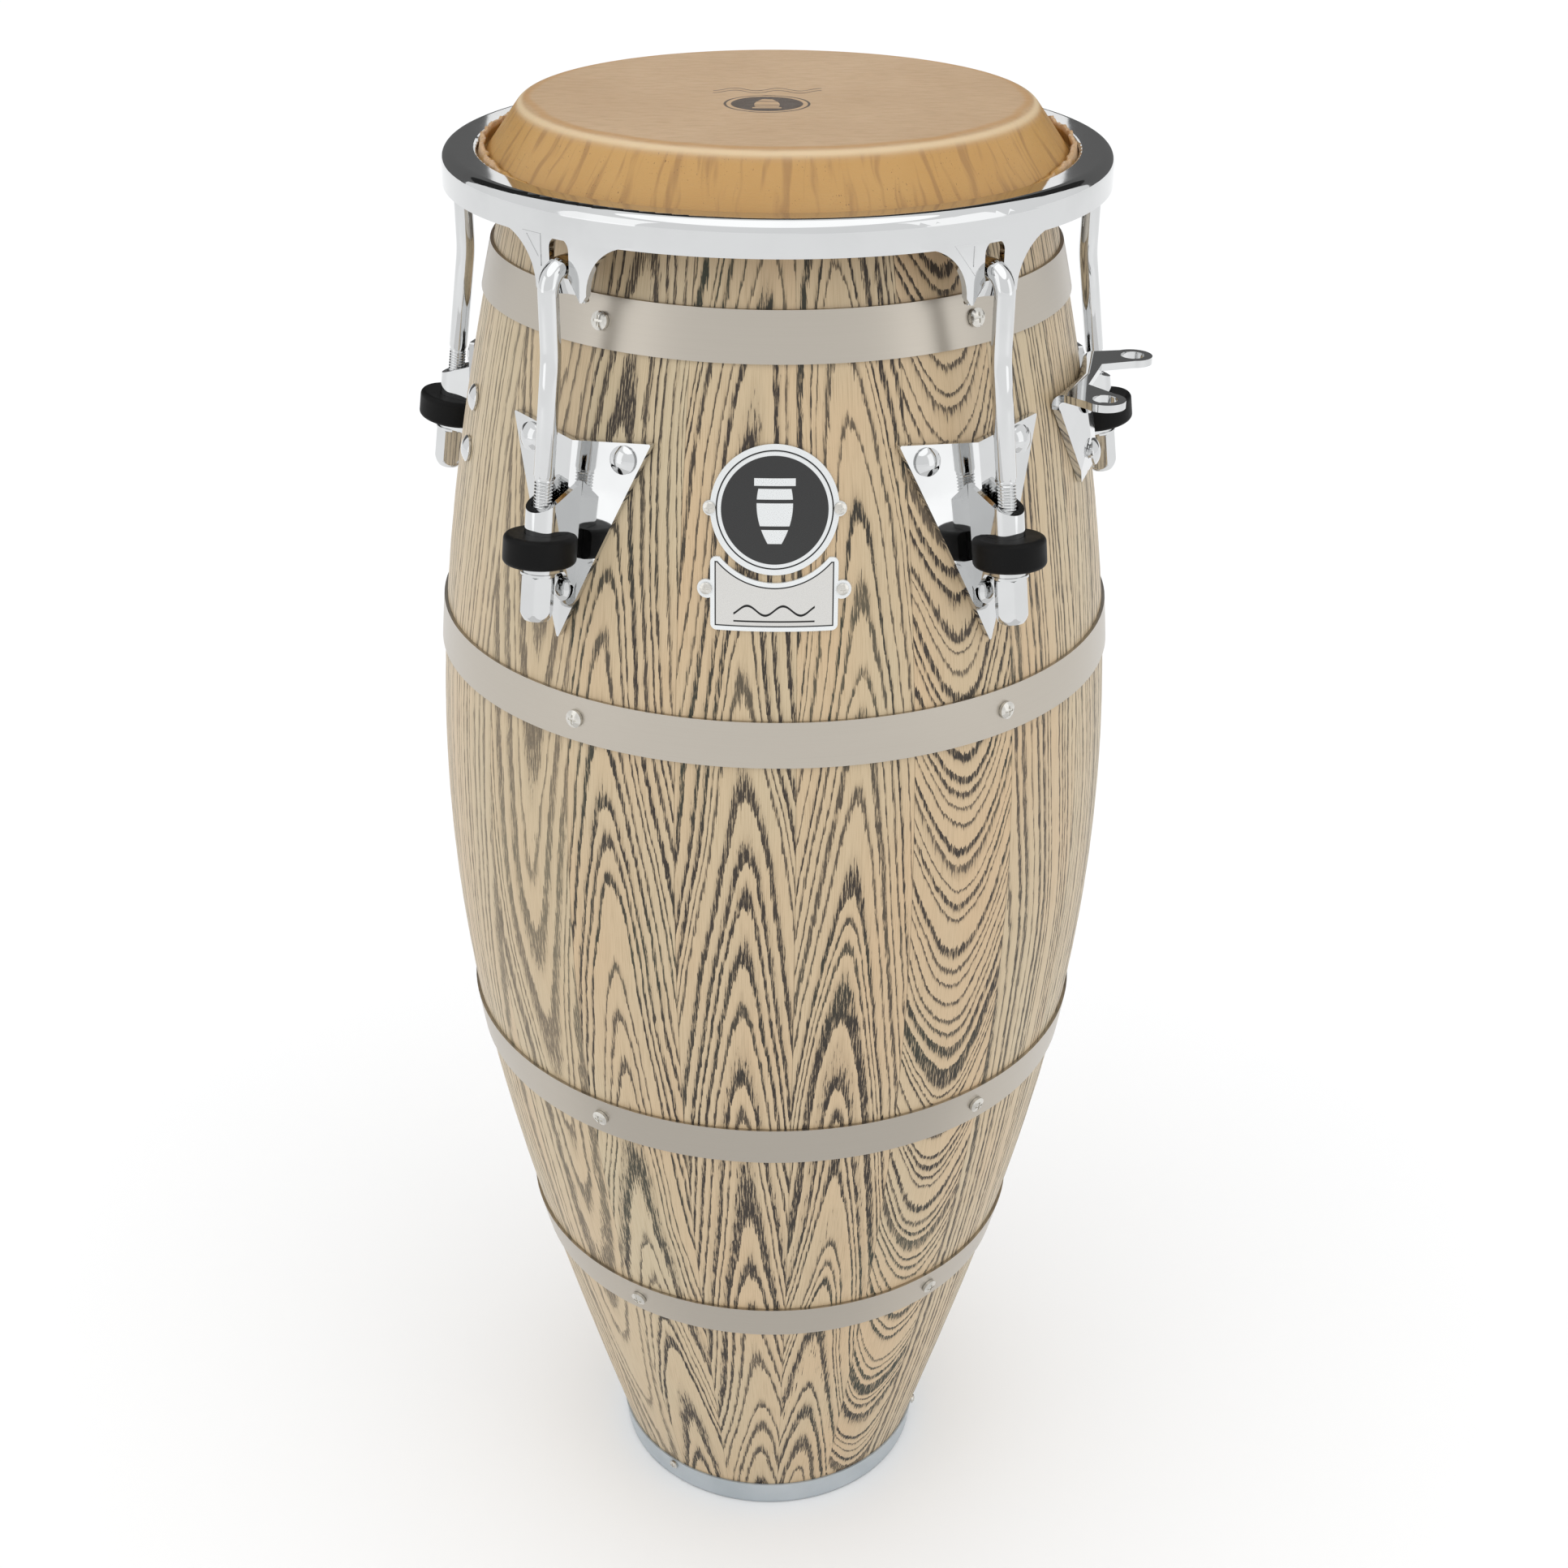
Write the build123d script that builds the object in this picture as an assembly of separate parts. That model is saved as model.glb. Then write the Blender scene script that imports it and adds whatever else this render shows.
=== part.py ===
from build123d import *
import os
from math import asin, atan, atan2, cos, degrees, radians, sin
import numpy as np

# Conga drum in millimetres.  +Z is up, the floor is z = 0 and the shell is round about the Z axis.
# An azimuth is in degrees about +Z from the badge, which faces -Y, towards +X.

# Shell
HEIGHT = 762.0
SHELL_HEIGHTS = (0, 120, 240, 360, 480, 590, 680, 720, 754)
SHELL_RADII = (80.3, 113.8, 142.1, 160.6, 162.2, 150.6, 132.9, 122.6, 114.6)
SHELL_CURVE = np.polyfit(SHELL_HEIGHTS, SHELL_RADII, 6)
WOOD = 11.0
STAVES = 19
FIRST_SEAM = 3.6
EDGE_CENTRE_Z = 754.1
EDGE_RADIUS = 5.9

# Head: a skin folded round a flesh hoop
SKIN = 1.8
SKIN_GAP = 0.2
FLESH_HOOP_RADIUS = 138.2
FLESH_HOOP_Z = 733.2
FLESH_WIRE = 3.5
RAW_EDGE_TOP = 747.0

# Tuning rim
RIM_OUTER = 148.65
RIM_INNER = 133.0
RIM_SHEET = 3.0
RIM_TOP = 742.6
RIM_FLANGE_Z = 739.1
RIM_BOTTOM = 727.6
EAR_BOTTOM = 703.5
EAR_HALF = 13.3
EAR_FLARE = 22.0
EAR_SLOT_HALF = 5.1
EAR_SLOT_BOTTOM = 711.0
EAR_SLOT_TOP = 728.6

# Lugs: the rod leans out at its foot, parallel to the shell's wall
LUGS = 5
LUG_STEP = 360 / LUGS
LUG_AZIMUTHS = [180 + LUG_STEP * i for i in range(LUGS)]
ROD_R = 167.0
ROD_Z = 605.0
ROD_TILT = 8.5
SHANK = 4.4
THREAD = 3.97
THREAD_LOW = -34.8
THREAD_HIGH = 27.9
NUT_FLATS = 12.7
NUT_TOP = -14.6
NUT_BOTTOM = -34.4
NUT_BORE = 4.0
SLEEVE = 7.0
SLEEVE_HOLE = 4.6
SLEEVE_BOTTOM = -13.4

# Plates, bolts and screws
SHEET = 2.5
SHEET_GAP = 0.05
HALF_FACE = 7.6
PLATE_TOP = 647.0
PLATE_NOTCH = 4.2
PLATE_TIP = 557.0
PLATE_HALF = 37.7
RIDGE = 4.0
BOLT = 3.0
BOLT_HEAD = 6.0
BOLT_HEIGHT = 3.2
SIDE_BOLT_Z = 638.2
SIDE_BOLT_X = 6.4
LOW_BOLT_Z = 579.5

# Stand bracket
STAND_AZIMUTH = 72.0
STAND_BOLT_Z = (637.2, 613.7)
STAND_TOP = 650.3
STAND_BOTTOM = 604.5
STAND_SHEET = 3.3
TAB_X = 33.6
TAB_R = 160.1
TAB_END = 9.0
TAB_HOLE = 5.5

# Bands, each with its top, its bottom and the azimuth of its first screw, and foot ring
BANDS = ((702.0, 681.0, -33.2), (532.5, 511.7, -32.5), (315.7, 294.9, -31.8), (183.1, 162.9, -31.6))
BAND = 1.5
BAND_SCREWS = 5
FOOT_RING_TOP = 15.5
FOOT_LIP = 2.0
FOOT_SCREW_AZIMUTHS = (-38.6, 81.4, 201.4)

# Badge and name plate
BADGE_Z = 623.0
BADGE_R = 26.75
BADGE_SHEET = 1.0
DISC_R = 23.6
NAME_HALF = 26.7
NAME_TOP = 603.2
NAME_BOTTOM = 572.4
NAME_EAR_Z = 589.5


def shell_radius(z):
    return float(np.polyval(SHELL_CURVE, z))


def shell_tilt(z):
    return degrees(atan(-float(np.polyval(np.polyder(SHELL_CURVE), z))))


def section_plane(azimuth):
    """Upright half plane through the Z axis: local x is the radius and local y is the height."""
    a = radians(azimuth)
    return Plane(origin=(0, 0, 0), x_dir=(sin(a), -cos(a), 0), z_dir=(-cos(a), -sin(a), 0))


def wall_plane(azimuth, radius, z, tilt=0.0):
    """Plane on the wall: local x runs round the drum, local y up the wall and local z outwards."""
    a = radians(azimuth)
    t = radians(tilt)
    out = (sin(a) * cos(t), -cos(a) * cos(t), sin(t))
    return Plane(origin=(radius * sin(a), -radius * cos(a), z), x_dir=(cos(a), sin(a), 0), z_dir=out)


def seat_azimuth(seat):
    origin = (seat * Pos(0, 0, 0)).position
    return degrees(atan2(origin.X, -origin.Y))


def on_shell(azimuth, z):
    return wall_plane(azimuth, shell_radius(z), z, shell_tilt(z))


def lug_plane(azimuth):
    return wall_plane(azimuth, ROD_R, ROD_Z, ROD_TILT)


def turned(section, azimuth=0.0, sweep=360.0):
    return revolve(section_plane(azimuth) * section, axis=Axis.Z, revolution_arc=sweep)


def wall_section(inner, outer, low, high):
    """Section of a skin that follows the shell, between two offsets and two heights."""
    spans = 2 + round((high - low) / 60)
    heights = [low + (high - low) * i / spans for i in range(spans + 1)]
    inside = Spline(*[(shell_radius(z) + inner, z) for z in heights])
    outside = Spline(*[(shell_radius(z) + outer, z) for z in heights])
    return make_face([inside, Line(inside @ 1, outside @ 1), outside, Line(outside @ 0, inside @ 0)])


def front_prism(outline, reach=60.0):
    """Prism of a front view outline, drawn at azimuth 0, running outwards from the drum's axis."""
    return extrude(Plane.XZ.offset(200 - reach) * outline, amount=reach)


def save(name, *pieces):
    solids = [solid for piece in pieces for solid in piece.solids()]
    shape = solids[0] if len(solids) == 1 else Compound(children=solids)
    export_step(shape, f"parts/{name}.step")


# ---------------------------------------------------------------- fasteners
def domed_pin(head, rim, height, shank, length):
    """Shank along local -Z under a head whose top is a cap of a sphere centred on the axis."""
    crown = height - rim
    sphere = (head**2 + crown**2) / (2 * crown)
    half = asin(head / sphere) / 2
    middle = (sphere * sin(half), height - sphere * (1 - cos(half)))
    profile = make_face(
        Polyline((0, -length), (shank, -length), (shank, 0), (head, 0), (head, rim)).edges()
        + [ThreePointArc((head, rim), middle, (0, height)), Line((0, height), (0, -length))]
    )
    return revolve(Plane.XZ * profile, axis=Axis.Z)


def pan_screw(head, height, shank, length):
    """Cross-recess screw with its head's underside at local z = 0."""
    screw = domed_pin(head, height * 0.55, height, shank, length)
    bar = Box(head * 1.15, head * 0.26, height * 0.5)
    recess = Pos(0, 0, height) * (bar + Rot(0, 0, 90) * bar)
    return screw - recess


def carriage_bolt(length):
    """Domed bolt with its head's underside at local z = 0."""
    return domed_pin(BOLT_HEAD, BOLT_HEIGHT * 0.3, BOLT_HEIGHT, BOLT, length)


def inner_washer(depth):
    return Pos(0, 0, -depth - 0.6) * (Cylinder(6.5, 1.2) - Cylinder(BOLT + 0.2, 3))


def inner_nut(depth):
    blank = extrude(RegularPolygon(5.5, 6, major_radius=False), amount=5) - Cylinder(BOLT + 0.05, 20)
    return Pos(0, 0, -depth - 6.25) * blank


def bolt_seats():
    """Each bolt's plane on the shell and how far its head stands off the wood, by group."""
    lug, stand, spare = [], [], []
    for azimuth in LUG_AZIMUTHS:
        for side in (-1, 1):
            seat = on_shell(azimuth + side * HALF_FACE, SIDE_BOLT_Z) * Pos(side * SIDE_BOLT_X, 0, 0)
            lug.append((seat, SHEET + 0.2))
        lug.append((on_shell(azimuth, LOW_BOLT_Z), RIDGE + 0.1))
    for z in STAND_BOLT_Z:
        stand.append((on_shell(STAND_AZIMUTH, z), RIDGE + STAND_SHEET - SHEET + 0.1))
        spare.append((on_shell(-STAND_AZIMUTH, z), 0.15))
    return lug, stand, spare


def band_screw_seats():
    steps = [360 / BAND_SCREWS * i for i in range(BAND_SCREWS)]
    return [on_shell(first + step, (top + low) / 2) for top, low, first in BANDS for step in steps]


def foot_screw_seats():
    return [wall_plane(a, 85.75, 12.4, -8.0) for a in FOOT_SCREW_AZIMUTHS]


def badge_screw_seats():
    low = shell_radius(NAME_EAR_Z)
    high = shell_radius(BADGE_Z)
    seats = []
    for side in (-1, 1):
        seats.append(on_shell(degrees(asin(side * 26.65 / high)), BADGE_Z))
        seats.append(on_shell(degrees(asin(side * 28.3 / low)), NAME_EAR_Z))
    return seats


# ---------------------------------------------------------------- shell
def stave_section():
    """Bowed plank with a rounded bearing edge that the head runs over."""
    low = FOOT_LIP + 0.2
    heights = [low + (EDGE_CENTRE_Z - low) * i / 12 for i in range(13)]
    outside = Spline(*[(shell_radius(z), z) for z in heights])
    inside = Spline(*[(shell_radius(z) - WOOD, z) for z in heights])
    centre_r = shell_radius(EDGE_CENTRE_Z) - EDGE_RADIUS
    crest = (centre_r, EDGE_CENTRE_Z + EDGE_RADIUS)
    half = EDGE_RADIUS * cos(radians(45))
    shoulder = ThreePointArc(outside @ 1, (centre_r + half, EDGE_CENTRE_Z + half), crest)
    bevel = Line(crest, inside @ 1)
    return make_face([outside, shoulder, bevel, inside, Line(inside @ 0, outside @ 0)])


def shell_drills():
    """Every hole in the wood, with its azimuth."""
    lug, stand, spare = bolt_seats()
    drills = [(seat, BOLT + 0.1, 17.0) for seat, _ in lug + stand + spare]
    drills += [(seat, 1.75, 9.8) for seat in band_screw_seats()]
    drills += [(seat, 1.45, 9.2) for seat in foot_screw_seats()]
    drills += [(seat, 1.15, 8.2) for seat in badge_screw_seats()]
    holes = []
    for seat, radius, depth in drills:
        hole = seat * Pos(0, 0, 4 - (depth + 4) / 2) * Cylinder(radius, depth + 4)
        holes.append((seat_azimuth(seat), hole))
    return holes


def staves():
    section = stave_section()
    width = 360 / STAVES
    holes = shell_drills()
    pieces = []
    for i in range(STAVES):
        start = FIRST_SEAM + width * i
        stave = turned(section, start, width)
        for azimuth, hole in holes:
            offset = (azimuth - start - width / 2 + 180) % 360 - 180
            if abs(offset) < width / 2 + 4:
                stave = stave - hole
        pieces.append(stave)
    return pieces


def band(top, low):
    ring = turned(wall_section(0.05, 0.05 + BAND, low, top))
    for seat in band_screw_seats():
        if abs(seat.origin.Z - (top + low) / 2) < 1:
            ring = ring - seat * Cylinder(1.9, 8)
    return ring


def foot_ring():
    """Angle ring under the staves, with its wall outside the wood."""
    wall_foot = shell_radius(FOOT_LIP) + 0.1
    wall_head = shell_radius(FOOT_RING_TOP) + 0.1
    lip_r = shell_radius(0) - WOOD + 1
    section = Polygon(
        (lip_r, 0), (83.9, 0), (85.9, FOOT_RING_TOP), (wall_head, FOOT_RING_TOP), (wall_foot, FOOT_LIP),
        (lip_r, FOOT_LIP), align=None,
    )
    section = fillet(section.vertices().sort_by_distance((83.9, 0))[0], 1.4)
    ring = turned(section)
    for seat in foot_screw_seats():
        ring = ring - seat * Cylinder(1.6, 12)
    return ring


# ---------------------------------------------------------------- head
def collar_geometry():
    """Centres of the skin's turn and of its fold, and the unit normal of the collar between them."""
    turn = Vector(shell_radius(EDGE_CENTRE_Z) - EDGE_RADIUS, EDGE_CENTRE_Z)
    fold = Vector(FLESH_HOOP_RADIUS, FLESH_HOOP_Z)
    outer_turn = EDGE_RADIUS + SKIN_GAP + SKIN
    run = fold - turn
    slope = -atan2(run.Y, run.X) + asin((outer_turn + FLESH_WIRE + 0.1) / run.length)
    return turn, fold, Vector(sin(slope), cos(slope)), slope


def skin_section():
    turn, fold, normal, slope = collar_geometry()
    inner = EDGE_RADIUS + SKIN_GAP
    outer = inner + SKIN
    wire = FLESH_WIRE + 0.1
    flat = Polygon((0, turn.Y + inner), (turn.X, turn.Y + inner), (turn.X, turn.Y + outer),
                   (0, turn.Y + outer), align=None)
    half = Vector(sin(slope / 2), cos(slope / 2))
    crown = make_face([
        ThreePointArc((turn.X, turn.Y + outer), turn + half * outer, turn + normal * outer),
        Line(turn + normal * outer, turn + normal * inner),
        ThreePointArc(turn + normal * inner, turn + half * inner, (turn.X, turn.Y + inner)),
        Line((turn.X, turn.Y + inner), (turn.X, turn.Y + outer)),
    ])
    collar = make_face(Polyline(turn + normal * inner, turn + normal * outer, fold - normal * wire,
                                fold - normal * (wire + SKIN), close=True).edges())
    wrap = Pos(fold.X, fold.Y) * (Circle(wire + SKIN) - Circle(wire))
    raw = Polygon((133.4, 735.2), (134.9, 737.4), (132.4, 739.3), (131.7, RAW_EDGE_TOP),
                  (130.2, RAW_EDGE_TOP), (130.9, 739.1), align=None)
    return flat + crown + collar + wrap + raw


def head_skin():
    return turned(skin_section())


def flesh_hoop():
    return turned(Pos(FLESH_HOOP_RADIUS, FLESH_HOOP_Z) * Circle(FLESH_WIRE))


# ---------------------------------------------------------------- rim
def rim_ring():
    skirt = RIM_OUTER - RIM_SHEET
    section = Polygon(
        (RIM_INNER, RIM_FLANGE_Z), (skirt, RIM_FLANGE_Z), (skirt, RIM_BOTTOM), (RIM_OUTER, RIM_BOTTOM),
        (RIM_OUTER, RIM_TOP), (RIM_INNER, RIM_TOP - 0.6), align=None,
    )
    rounds = (
        ((RIM_OUTER, RIM_TOP), 5.0), ((skirt, RIM_FLANGE_Z), 2.0), ((RIM_INNER, RIM_TOP - 0.6), 1.3),
        ((RIM_INNER, RIM_FLANGE_Z), 1.3),
    )
    for corner, radius in rounds:
        section = fillet(section.vertices().sort_by_distance(corner)[0], radius)
    return turned(section)


def ear_outline():
    """Front view of an ear: two concave flares down from the rim to a short straight foot."""
    hub_x = EAR_HALF + EAR_FLARE
    hub_z = RIM_BOTTOM + 1.0 - EAR_FLARE
    diagonal = EAR_FLARE * cos(radians(45))
    corner = 2.2
    right = ThreePointArc((hub_x, hub_z + EAR_FLARE), (hub_x - diagonal, hub_z + diagonal), (EAR_HALF, hub_z))
    left = ThreePointArc((-EAR_HALF, hub_z), (diagonal - hub_x, hub_z + diagonal),
                         (-hub_x, hub_z + EAR_FLARE))
    foot = Polyline((EAR_HALF, hub_z), (EAR_HALF - corner, EAR_BOTTOM), (corner - EAR_HALF, EAR_BOTTOM),
                    (-EAR_HALF, hub_z))
    head = Polyline((-hub_x, hub_z + EAR_FLARE), (-hub_x, RIM_BOTTOM + 4), (hub_x, RIM_BOTTOM + 4),
                    (hub_x, hub_z + EAR_FLARE))
    return make_face([right] + foot.edges() + [left] + head.edges())


def slot_outline(half, low, high):
    return Pos(0, (low + high) / 2) * Rot(0, 0, 90) * SlotOverall(high - low, 2 * half)


def ear():
    """Sheet ear with a rod slot, a pressed trough below it and two raised triangles."""
    sheet = Pos(0, 0, 715) * (Cylinder(RIM_OUTER, 40) - Cylinder(RIM_OUTER - RIM_SHEET, 40))
    blade = sheet & front_prism(ear_outline())
    low, high = EAR_BOTTOM - 1.5, EAR_SLOT_BOTTOM + 5
    trough = Pos(0, -150.5, (low + high) / 2) * Cone(11.0, 3.1, high - low)
    backing = Pos(0, -150.5, (low + high) / 2) * Cone(13.8, 5.9, high - low)
    keep = Pos(0, -142, (EAR_BOTTOM + EAR_SLOT_BOTTOM + 3) / 2) * Box(
        2 * EAR_HALF - 3, 13, EAR_SLOT_BOTTOM + 3 - EAR_BOTTOM)
    inside = Pos(0, 0, 715) * Cylinder(RIM_OUTER - 1, 60)
    blade = blade + (backing & keep & inside) - trough
    blade = blade - front_prism(slot_outline(EAR_SLOT_HALF, EAR_SLOT_BOTTOM, EAR_SLOT_TOP))
    boss_sheet = Pos(0, 0, 715) * (Cylinder(RIM_OUTER + 0.35, 40) - Cylinder(RIM_OUTER - 1, 40))
    for side in (-1, 1):
        outline = Polygon((9.6 * side, 728.6), (20.2 * side, 728.6), (9.8 * side, 715.4), align=None)
        window = Polygon((10.8 * side, 727.6), (17.6 * side, 727.6), (10.9 * side, 719.0), align=None)
        frame = outline - window
        blade = blade + (boss_sheet & front_prism(frame))
    return blade


def rim():
    whole = rim_ring()
    one = ear()
    for azimuth in LUG_AZIMUTHS:
        whole = whole + Rot(0, 0, azimuth) * one
    return whole


# ---------------------------------------------------------------- lugs, drawn at azimuth 0
def folded_halves(section_of, top, low, half_width):
    """Two flat halves that meet in a ridge: each is a section pushed along its own face."""
    sheet = None
    for side in (-1, 1):
        half = extrude(section_plane(side * HALF_FACE) * section_of(), amount=2 * half_width, both=True)
        half = half & (Pos(side * 60, -160, (top + low) / 2) * Box(120, 120, top - low + 40))
        sheet = half if sheet is None else sheet + half
    return sheet


def strap():
    """U loop round the rod, in the lug's local frame, with oblique top and bottom edges."""
    def loop(radius, back):
        return Circle(radius) + Pos(0, -back / 2) * Rectangle(2 * radius, back)

    walls = extrude(Plane.XZ * (loop(SLEEVE, 16.5) - loop(SLEEVE_HOLE, 18)), amount=40, both=True)
    side = Polygon((12.6, 8), (24.6, -16.5), (-23.2, -16.5), (SLEEVE_BOTTOM, -8.3), (SLEEVE_BOTTOM, 8),
                   align=None)
    return walls & extrude(Plane.YZ * side, amount=10, both=True)


def lug_bracket():
    """Creased triangular plate with the strap welded on."""
    def section():
        return wall_section(SHEET_GAP, SHEET_GAP + SHEET, PLATE_TIP - 6, PLATE_TOP + 6)

    outline = Polygon((-PLATE_HALF, PLATE_TOP), (0, PLATE_TIP), (PLATE_HALF, PLATE_TOP),
                      (0, PLATE_TOP - PLATE_NOTCH), align=None)
    outline = fillet(outline.vertices(), 0.7)
    plate = folded_halves(section, PLATE_TOP, PLATE_TIP, PLATE_HALF) & front_prism(outline, 80)
    return plate + lug_plane(0) * strap()


def lug_bracket_holes(azimuth):
    lug, _, _ = bolt_seats()
    near = [seat for seat, _ in lug if abs((seat_azimuth(seat) - azimuth + 180) % 360 - 180) < 15]
    return [seat * Cylinder(BOLT + 0.2, 20) for seat in near]


def shell_protector():
    """Rubber collar open towards the plate."""
    body = extrude(Plane.XZ.offset(9.8) * Ellipse(14.7, 16.9), amount=-13)
    body = fillet(body.edges(), 2.4)
    gap = extrude(Plane.XZ * (Circle(SLEEVE + 0.1) + Pos(0, -15) * Rectangle(2 * SLEEVE + 0.2, 30)),
                  amount=40, both=True)
    return body - gap - Pos(0, 0, -31) * Box(60, 60, 40)


def tuning_nut():
    height = NUT_TOP - NUT_BOTTOM
    prism = extrude(Plane.XZ.offset(-NUT_TOP) * RegularPolygon(NUT_FLATS / 2, 6, major_radius=False),
                    amount=height)
    corner = NUT_FLATS / 2 / cos(radians(30)) + 0.1
    turning = make_face(
        Polyline((5.4, NUT_BOTTOM), (0, NUT_BOTTOM), (0, NUT_TOP), (6.3, NUT_TOP), (corner, NUT_TOP - 0.7),
                 (corner, NUT_BOTTOM + 5.5)).edges()
        + [ThreePointArc((corner, NUT_BOTTOM + 5.5), (6.75, NUT_BOTTOM + 2.4), (5.4, NUT_BOTTOM))]
    )
    bore = extrude(Plane.XZ * Circle(NUT_BORE), amount=60, both=True)
    return (prism & revolve(turning, axis=Axis.Y)) - bore


def nut_washer():
    ring = Circle(7.8) - Circle(THREAD + 0.3)
    return extrude(Plane.XZ.offset(-SLEEVE_BOTTOM + 0.05) * ring, amount=1.0)


def tuning_hook():
    """Rod with a threaded foot and a crook that hangs in the ear's slot."""
    thread = lug_plane(0) * extrude(Plane.XZ.offset(-THREAD_HIGH - 1) * Circle(THREAD),
                                    amount=THREAD_HIGH + 1 - THREAD_LOW)
    lean = radians(ROD_TILT)
    start = (ROD_R - THREAD_HIGH * sin(lean), ROD_Z + THREAD_HIGH * cos(lean))
    leg_r, bar_z, tip_r = 155.7, 716.7, 134.5
    knee_z = start[1] + (start[0] - leg_r) / sin(lean) * cos(lean)
    path = section_plane(0) * FilletPolyline(
        start, (leg_r, knee_z), (leg_r, bar_z), (tip_r, bar_z), (tip_r, 709.6), radius=[70, 8.7, 6])
    shank = sweep(Plane(origin=path @ 0, z_dir=path % 0) * Circle(SHANK), path=path)
    return shank + thread


# ---------------------------------------------------------------- stand bracket, drawn at azimuth 0
def stand_bracket():
    """Creased plate whose top edge bends out into two drilled tabs."""
    foot_r = shell_radius(STAND_BOTTOM) + 0.3
    head_r = shell_radius(STAND_TOP) + 0.3

    def section():
        outline = Polygon(
            (foot_r, STAND_BOTTOM), (head_r, STAND_TOP), (185, STAND_TOP), (185, STAND_TOP - STAND_SHEET),
            (head_r + STAND_SHEET + 0.5, STAND_TOP - STAND_SHEET), (foot_r + STAND_SHEET, STAND_BOTTOM),
            align=None,
        )
        bend = (((head_r, STAND_TOP), 5.0), ((head_r + STAND_SHEET + 0.5, STAND_TOP - STAND_SHEET), 2.0))
        for corner, radius in bend:
            outline = fillet(outline.vertices().sort_by_distance(corner)[0], radius)
        return outline

    sheet = folded_halves(section, STAND_TOP, STAND_BOTTOM, 45)
    wall = Polygon((-34.0, STAND_TOP + 1), (-34.0, 645.0), (-14.5, STAND_BOTTOM), (14.5, STAND_BOTTOM),
                   (34.0, 645.0), (34.0, STAND_TOP + 1), align=None)
    near_wall = Pos(0, -head_r - 3, STAND_TOP - 20) * Box(120, 14, 80)
    tabs = None
    for side in (-1, 1):
        root = Polygon((side * 12, head_r - 12), (side * 33.6, head_r - 12), (side * 34.0, head_r + 3),
                       (side * 42.4, TAB_R - 1), (side * 25.2, TAB_R + 3), (side * 12, head_r + 5),
                       align=None)
        plan = Rot(180, 0, 0) * (root + Pos(side * TAB_X, TAB_R) * Circle(TAB_END))
        tab = extrude(Pos(0, 0, STAND_TOP - 12) * Plane.XY * plan, amount=40, both=True)
        tab = tab - Pos(side * TAB_X, -TAB_R, STAND_TOP) * Cylinder(TAB_HOLE, 80)
        tabs = tab if tabs is None else tabs + tab
    upper = Pos(0, -160, STAND_TOP) * Box(120, 80, 14)
    bracket = (sheet & front_prism(wall, 80) & near_wall) + (sheet & tabs & upper)
    return bracket


# ---------------------------------------------------------------- badge, drawn at azimuth 0
def wall_sheet(inner, outer, low, high):
    return turned(wall_section(inner, outer, low, high), -16, 32)


def badge_plate():
    outline = Pos(0, BADGE_Z) * (Circle(BADGE_R) + Pos(-26.65, 0) * Circle(3.1) + Pos(26.65, 0) * Circle(3.1))
    return wall_sheet(0.1, 0.1 + BADGE_SHEET, 592, 655) & front_prism(outline)


def badge_disc():
    outline = Pos(0, BADGE_Z) * Circle(DISC_R)
    return wall_sheet(0.15 + BADGE_SHEET, 0.4 + BADGE_SHEET, 592, 655) & front_prism(outline)


def name_plate():
    blank = Polygon((-NAME_HALF, NAME_BOTTOM), (NAME_HALF, NAME_BOTTOM), (NAME_HALF, NAME_TOP),
                    (-NAME_HALF, NAME_TOP), align=None)
    blank = fillet(blank.vertices(), 2.6)
    blank = blank - Pos(0, BADGE_Z) * Circle(BADGE_R + 3.4)
    ears = Pos(-28.3, NAME_EAR_Z) * Circle(3.9) + Pos(28.3, NAME_EAR_Z) * Circle(3.9)
    return wall_sheet(0.1, 0.1 + BADGE_SHEET, 566, 610) & front_prism(blank + ears)


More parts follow.
